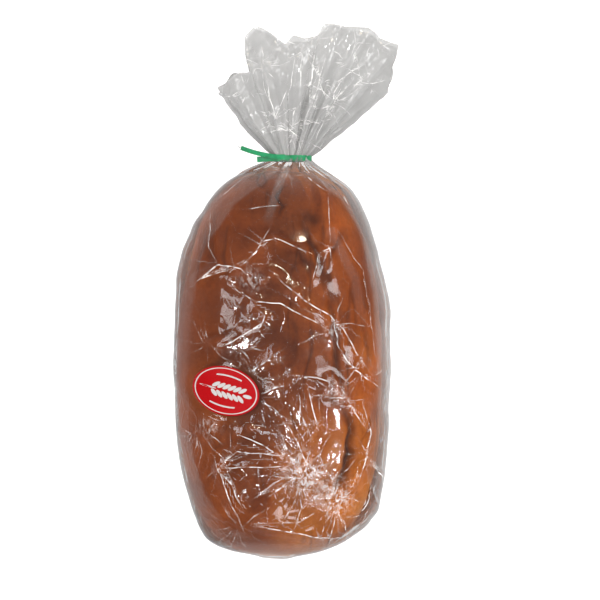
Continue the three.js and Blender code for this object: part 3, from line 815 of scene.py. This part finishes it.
def clear_film():
    """Clear film: light goes through, a mirror share grows towards grazing angles, and a milky share comes
    from the haze attribute. A crease is a bump with a thin white line along it, from the distance to it: the
    line is a painted highlight standing for the lamps' glints. Where the film is crushed, white chips are
    painted highlights too."""
    material = bpy.data.materials.new("clear_film")
    tree = nodes_of(material)
    place = add(tree, "TexCoord").outputs["Object"]
    haze = add(tree, "Attribute", attribute_name="haze").outputs["Fac"]
    crumple = add(tree, "Attribute", attribute_name="crumple").outputs["Fac"]
    away = add(tree, "Attribute", attribute_name="crease_away").outputs["Fac"]
    high = add(tree, "Attribute", attribute_name="crease_height").outputs["Fac"]
    apart = add(tree, "Math", {0: away}, operation="ABSOLUTE")
    profile = ramp(tree, apart.outputs[0], [(0.0, 1.0), (0.2, 0.75), (0.75, 0.0)], "EASE")
    sharp = add(tree, "Math", {0: profile, 1: high}, operation="MULTIPLY")
    stretch = add(tree, "Mapping", {"Vector": place, "Scale": (1.0, 0.6, 1.0)})
    small = add(tree, "TexVoronoi", {"Vector": stretch.outputs[0], "Scale": 120.0},
                feature="DISTANCE_TO_EDGE")
    web = ramp(tree, small.outputs["Distance"], [(0.0, 0.35), (0.10, 0.0)])
    swell = add(tree, "TexNoise", {"Vector": place, "Scale": 30.0, "Detail": 0.0})
    height = add(tree, "Math", {0: web, 1: crumple}, operation="MULTIPLY")
    height = add(tree, "Math", {0: height.outputs[0], 1: swell.outputs["Fac"]}, operation="ADD")
    height = add(tree, "Math", {0: height.outputs[0], 1: sharp.outputs[0]}, operation="ADD")
    bump = add(tree, "Bump", {"Height": height.outputs[0], "Strength": 0.8, "Distance": 0.0006})
    through = add(tree, "BsdfTransparent", {"Color": (0.985, 0.985, 0.98, 1)})
    mirror = add(tree, "BsdfAnisotropic", {"Color": (1, 1, 1, 1), "Roughness": 0.11,
                                           "Normal": bump.outputs[0]})
    milk = add(tree, "BsdfDiffuse", {"Color": (0.315, 0.313, 0.308, 1)})
    # Round the loaf the inside mirrors it strongly; in the open ruff both faces mirror alike (Schlick).
    held = add(tree, "Fresnel", {"IOR": 1.5, "Normal": bump.outputs[0]})
    held = add(tree, "Math", {0: held.outputs[0], 1: 1.3}, operation="MULTIPLY", use_clamp=True)
    free = add(tree, "LayerWeight", {"Blend": 0.5, "Normal": bump.outputs[0]}).outputs["Facing"]
    free = add(tree, "Math", {0: free, 1: 5.0}, operation="POWER")
    free = add(tree, "Math", {0: free.outputs[0], 1: 1.25, 2: 0.052}, operation="MULTIPLY_ADD",
               use_clamp=True)
    in_ruff = add(tree, "Attribute", attribute_name="in_ruff").outputs["Fac"]
    share = add(tree, "Mix", {0: in_ruff, 2: held.outputs[0], 3: free.outputs[0]})
    cloudy = add(tree, "MixShader", {0: haze, 1: through.outputs[0], 2: milk.outputs[0]})
    film = add(tree, "MixShader", {0: share.outputs[0], 1: cloudy.outputs[0], 2: mirror.outputs[0]})
    # White diffuse lines along the creases and chips where the film is crushed: painted highlights, standing
    # for glints of the lamps.
    painted_glint = add(tree, "BsdfDiffuse", {"Color": (0.95, 0.93, 0.91, 1)})
    thin = ramp(tree, apart.outputs[0], [(0.0, 1.0), (0.12, 0.7), (0.42, 0.0)], "EASE")
    gaps = add(tree, "TexNoise", {"Vector": place, "Scale": 210.0, "Detail": 2.0})
    broken = ramp(tree, gaps.outputs["Fac"], [(0.38, 0.08), (0.60, 1.0)])
    line = add(tree, "Math", {0: thin, 1: high}, operation="MULTIPLY")
    line = add(tree, "Math", {0: line.outputs[0], 1: broken}, operation="MULTIPLY")
    # White chips of painted highlight where the film is crushed.
    glint_chips = add(tree, "TexNoise", {"Vector": stretch.outputs[0], "Scale": 520.0, "Detail": 3.0,
                                   "Distortion": 0.8})
    glint_chips = ramp(tree, glint_chips.outputs["Fac"], [(0.48, 0.0), (0.60, 1.0)])
    glint_patch = add(tree, "Attribute", attribute_name="glint_patch").outputs["Fac"]
    glint_patch = add(tree, "Math", {0: glint_chips, 1: glint_patch}, operation="MULTIPLY")
    line = add(tree, "Math", {0: line.outputs[0], 1: glint_patch.outputs[0]}, operation="MAXIMUM",
               use_clamp=True)
    with_painted_glints = add(tree, "MixShader", {0: line.outputs[0], 1: film.outputs[0], 2: painted_glint.outputs[0]})
    out = add(tree, "OutputMaterial")
    tree.links.new(with_painted_glints.outputs[0], out.inputs["Surface"])
    return material


film = film_piece()
film.data.materials.append(clear_film())
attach(film, "root")
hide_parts("bag")


# ---------------------------------------------------------------------------------------------------
# The label. A small oval of red gloss paper stuck on the film, printed in white with a line round it, an
# ear of wheat and two bars.

def film_top(x, y):
    """Height of the smooth film over a point of the plan, by the same superellipse as its section."""
    y = np.asarray(y, float)
    left, right = smooth_edges(y.ravel())
    half, middle = ((right - left) / 2).reshape(y.shape), ((right + left) / 2).reshape(y.shape)
    side = np.clip(np.abs(x - middle) / half, 0, 1)
    return FILM_LEVEL + FILM_CROWN * half * (1 - side**FILM_SQUARENESS) ** (1 / FILM_SQUARENESS)


def on_label(u, v, lift):
    """A point of the label, from its own length and width coordinates in millimetres."""
    middle = label_middle()
    x = middle[0] + u * np.cos(LABEL_TURN) - v * np.sin(LABEL_TURN)
    y = middle[1] + u * np.sin(LABEL_TURN) + v * np.cos(LABEL_TURN)
    ripple = 0.25 * np.sin(u / 5.5 + 0.6) * np.hypot(u / LABEL_HALF[0], v / LABEL_HALF[1]) ** 2
    return np.stack([x, y, film_top(x, y) + lift + ripple], -1)


def oval(inner, outer, lift, rings=24, way=1):
    """Grid of an oval, or of an oval ring, lying on the label: rows from inner to outer share of its size,
    columns round it, against the clock or, with way -1, with it."""
    angle = way * np.linspace(0, 2 * np.pi, 120, endpoint=False)[None, :]
    share = np.linspace(inner, outer, rings)[:, None]
    u, v = share * LABEL_HALF[0] * np.cos(angle), share * LABEL_HALF[1] * np.sin(angle)
    return on_label(u, v, lift)


def label_paper(name, colour, roughness):
    """Printed gloss paper of one colour, with fine flecks and a slight waviness."""
    material = bpy.data.materials.new(name)
    tree = nodes_of(material)
    place = add(tree, "TexCoord").outputs["Object"]
    fleck = add(tree, "TexNoise", {"Vector": place, "Scale": 900.0, "Detail": 2.0})
    dim = tuple(0.88 * part for part in colour)
    shade = ramp(tree, fleck.outputs["Fac"], [(0.35, dim), (0.65, colour)])
    wave = add(tree, "TexNoise", {"Vector": place, "Scale": 90.0})
    bump = add(tree, "Bump", {"Height": wave.outputs["Fac"], "Strength": 0.15, "Distance": 0.0006})
    surface = add(tree, "BsdfPrincipled", {"Base Color": shade, "Roughness": roughness,
                                           "Normal": bump.outputs[0], "Specular IOR Level": 0.2})
    out = add(tree, "OutputMaterial")
    tree.links.new(surface.outputs[0], out.inputs["Surface"])
    return material


LABEL_LIFT = 1.6  # over the smooth film, which its creases come near to
PRINT_LIFT = LABEL_LIFT + 0.07
LABEL_THICKNESS = 0.35  # of the turned down edge
top, edge = oval(0.02, 1, LABEL_LIFT, way=-1), oval(1, 1, LABEL_LIFT - LABEL_THICKNESS, 1, way=-1)
paper = tube_mesh("label_face", np.concatenate([top, edge]),
                  start_pole=on_label(np.float64(0), np.float64(0), LABEL_LIFT))
paper.data.materials.append(label_paper("label_red", (0.30, 0.001, 0.003), 0.38))
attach(paper, "root")
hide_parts("label")


# Marks of the print, as small ovals: middle, half length, half width and turn in degrees. Six pairs of
# grains, the grain at the tip and the stalk make the ear of wheat.
GRAINS = [(-8.0 + 4.0 * pair, 3.1 * side, 3.3, 1.35, 38 * side) for pair in range(6) for side in (1, -1)]
PRINT_MARKS = GRAINS + [(16.4, 0, 3.3, 1.35, 0), (-13.5, 0, 6.5, 0.6, 0)]
BAR_AWAY, BAR_HALF_LENGTH, BAR_HALF_WIDTH, BAR_BEND = 11.2, 9.5, 0.55, 0.012
BORDER = (0.90, 0.935)  # the line's inner and outer edge, as shares of the label's size


def print_mesh():
    """The white print, all just over the paper: the marks, a bent bar over and under the ear, and a line
    round the label."""
    vertices, faces = [], []
    angle = np.linspace(0, 2 * np.pi, 28, endpoint=False)
    for u, v, long, wide, turn in PRINT_MARKS:
        c, s = np.cos(np.radians(turn)), np.sin(np.radians(turn))
        a, b = long * np.cos(angle), wide * np.sin(angle)
        ring = on_label(u + a * c - b * s, v + a * s + b * c, PRINT_LIFT)
        faces.append(list(range(len(vertices), len(vertices) + len(angle))))
        vertices += (ring * MM).tolist()
    u = np.linspace(-BAR_HALF_LENGTH, BAR_HALF_LENGTH, 30)
    for side in (1, -1):
        start = len(vertices)
        for edge in (-BAR_HALF_WIDTH, BAR_HALF_WIDTH):
            v = BAR_AWAY * side + edge - BAR_BEND * side * u**2
            vertices += (on_label(u, v, PRINT_LIFT) * MM).tolist()
        low = start + np.arange(len(u) - 1)
        high = low + len(u)
        faces += np.stack([low, low + 1, high + 1, high], -1).tolist()
    border = oval(*BORDER, PRINT_LIFT, 2)
    inner = len(vertices) + np.arange(border.shape[1])
    outer = inner + len(inner)
    vertices += (border.reshape(-1, 3) * MM).tolist()
    faces += np.stack([inner, outer, np.roll(outer, -1), np.roll(inner, -1)], -1).tolist()
    mesh = bpy.data.meshes.new("label_print")
    mesh.from_pydata(vertices, [], faces)
    mesh.update()
    piece = bpy.data.objects.new("label_print", mesh)
    bpy.context.scene.collection.objects.link(piece)
    return piece


white_print = print_mesh()
white_print.data.materials.append(label_paper("label_white", (0.41, 0.395, 0.385), 0.4))
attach(white_print, "root")


# ---------------------------------------------------------------------------------------------------
# The twist tie. A flat green plastic ribbon with a steel wire moulded along its middle, wound once round
# the neck with its two tails crossing. The frame's own pieces are kept and only get their materials.

def tie_plastic():
    """Green plastic with faint darker streaks and a little sheen."""
    material = bpy.data.materials.new("tie_green")
    tree = nodes_of(material)
    place = add(tree, "TexCoord").outputs["Object"]
    streak = add(tree, "TexNoise", {"Vector": place, "Scale": 260.0, "Detail": 3.0})
    shade = ramp(tree, streak.outputs["Fac"], [(0.3, (0.004, 0.125, 0.045)),
                                               (0.7, (0.010, 0.235, 0.090))])
    bump = add(tree, "Bump", {"Height": streak.outputs["Fac"], "Strength": 0.4, "Distance": 0.0005})
    surface = add(tree, "BsdfPrincipled", {"Base Color": shade, "Roughness": 0.38,
                                           "Normal": bump.outputs[0]})
    out = add(tree, "OutputMaterial")
    tree.links.new(surface.outputs[0], out.inputs["Surface"])
    return material


def tie_steel():
    """Drawn steel wire, cut at its end."""
    material = bpy.data.materials.new("tie_steel")
    tree = nodes_of(material)
    place = add(tree, "TexCoord").outputs["Object"]
    drawn = add(tree, "TexNoise", {"Vector": place, "Scale": 900.0, "Detail": 2.0})
    shade = ramp(tree, drawn.outputs["Fac"], [(0.3, 0.42), (0.7, 0.56)])
    surface = add(tree, "BsdfPrincipled", {"Base Color": shade, "Metallic": 1.0, "Roughness": 0.35})
    out = add(tree, "OutputMaterial")
    tree.links.new(surface.outputs[0], out.inputs["Surface"])
    return material


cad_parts["tie_ribbon"].material_slots[0].material = tie_plastic()
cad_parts["tie_wire"].material_slots[0].material = tie_steel()
